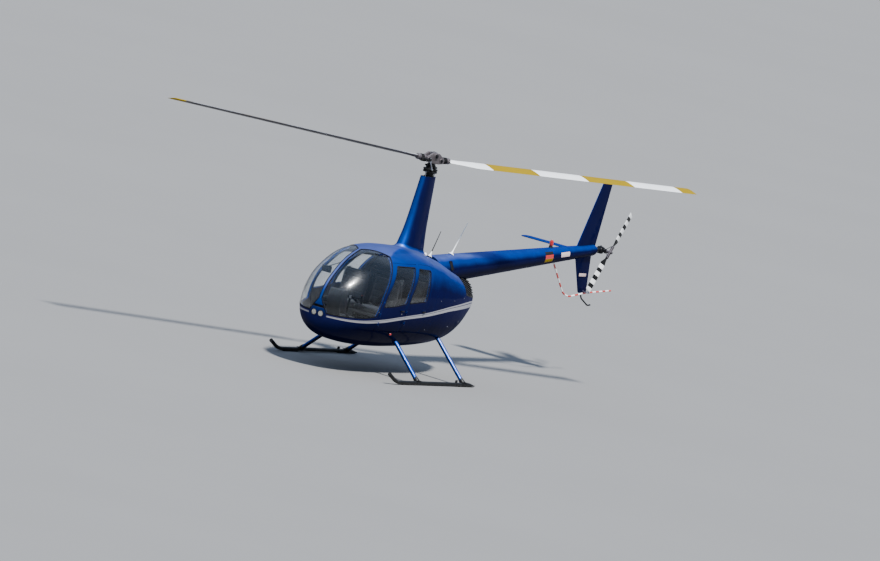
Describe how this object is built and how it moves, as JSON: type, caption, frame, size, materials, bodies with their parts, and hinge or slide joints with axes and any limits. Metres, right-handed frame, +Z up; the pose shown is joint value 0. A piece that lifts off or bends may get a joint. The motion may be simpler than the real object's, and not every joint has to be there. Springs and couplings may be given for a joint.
{
  "type": "light helicopter",
  "caption": "Light four-seat helicopter on skids with a two-blade main rotor, a two-blade tail rotor and opening cabin doors.",
  "frame": {"origin": "bottom centre of the whole object's bounding box, on the ground under the skids", "axes": "+X towards the nose, +Y to port (left), +Z up along the mast"},
  "size_m": [11.0463, 4.0566, 3.5444],
  "materials": {
    "blue_paint": "dark metallic blue paint, gloss",
    "black_paint": "black paint, satin",
    "white_paint": "white paint with coloured bands",
    "bare_metal": "bare metal, satin",
    "dark_plastic": "dark matte plastic",
    "window": "clear acrylic",
    "seat_cloth": "dark grey woven cloth"
  },
  "bodies": {
    "fuselage": {"cabin_lower": "blue_paint", "cabin_roof": "blue_paint", "windscreen_port": "window", "windscreen_starboard": "window", "cowl_belly": "blue_paint", "cowl_port": "blue_paint", "cowl_starboard": "blue_paint", "cowl_upper": "blue_paint", "stern_grille": "dark_plastic", "mast_fairing": "blue_paint", "mast_tube": "bare_metal", "engine": "bare_metal", "fin_upper": "blue_paint", "fin_lower": "blue_paint", "stabiliser": "blue_paint", "tail_cone": "blue_paint", "tail_gearbox": "bare_metal", "skid_port": "black_paint", "skid_starboard": "black_paint", "cross_tube_front": "blue_paint", "cross_tube_rear": "blue_paint", "tail_guard": "white_paint", "tail_skid": "black_paint", "cabin_floor": "dark_plastic", "firewall": "bare_metal", "seat_frame_front": "dark_plastic", "seat_frame_rear": "dark_plastic", "cushion_front_port": "seat_cloth", "cushion_front_starboard": "seat_cloth", "cushion_rear_port": "seat_cloth", "cushion_rear_starboard": "seat_cloth", "backrest_front_port": "seat_cloth", "backrest_front_starboard": "seat_cloth", "backrest_rear_port": "seat_cloth", "backrest_rear_starboard": "seat_cloth", "console": "dark_plastic", "cyclic_stick": "dark_plastic"},
    "main_rotor": {"rotor_shaft": "bare_metal", "rotor_hub": "bare_metal", "grip_a": "bare_metal", "grip_b": "bare_metal", "main_blade_a": "white_paint", "main_blade_b": "white_paint"},
    "tail_rotor": {"tail_rotor_hub": "bare_metal", "tail_blade_a": "white_paint", "tail_blade_b": "white_paint"},
    "door_front_port": {"door_front_port": "blue_paint", "window_front_port": "window"},
    "door_front_starboard": {"door_front_starboard": "blue_paint", "window_front_starboard": "window"},
    "door_rear_port": {"door_rear_port": "blue_paint", "window_rear_port": "window"},
    "door_rear_starboard": {"door_rear_starboard": "blue_paint", "window_rear_starboard": "window"}
  },
  "joints": [
    {"name": "main_rotor_spin", "type": "hinge", "parent": "fuselage", "child": "main_rotor", "pos_m": [0.8425, 0, 3.2], "axis": [0, 0, 1], "continuous": true},
    {"name": "tail_rotor_spin", "type": "hinge", "parent": "fuselage", "child": "tail_rotor", "pos_m": [-5.0475, 0.205, 1.98], "axis": [0, 1, 0], "continuous": true},
    {"name": "door_front_port_hinge", "type": "hinge", "parent": "fuselage", "child": "door_front_port", "pos_m": [2.5415, 0.638, 0.9], "axis": [0, 0, -1], "range_deg": [0, 75]},
    {"name": "door_rear_port_hinge", "type": "hinge", "parent": "fuselage", "child": "door_rear_port", "pos_m": [1.8355, 0.682, 0.9], "axis": [0, 0, -1], "range_deg": [0, 75]},
    {"name": "door_front_starboard_hinge", "type": "hinge", "parent": "fuselage", "child": "door_front_starboard", "pos_m": [2.5415, -0.638, 0.9], "axis": [0, 0, 1], "range_deg": [0, 75]},
    {"name": "door_rear_starboard_hinge", "type": "hinge", "parent": "fuselage", "child": "door_rear_starboard", "pos_m": [1.8355, -0.682, 0.9], "axis": [0, 0, 1], "range_deg": [0, 75]}
  ],
  "couplings": [
    {"joint": "tail_rotor_spin", "follows": "main_rotor_spin", "ratio": -5.95}
  ]
}
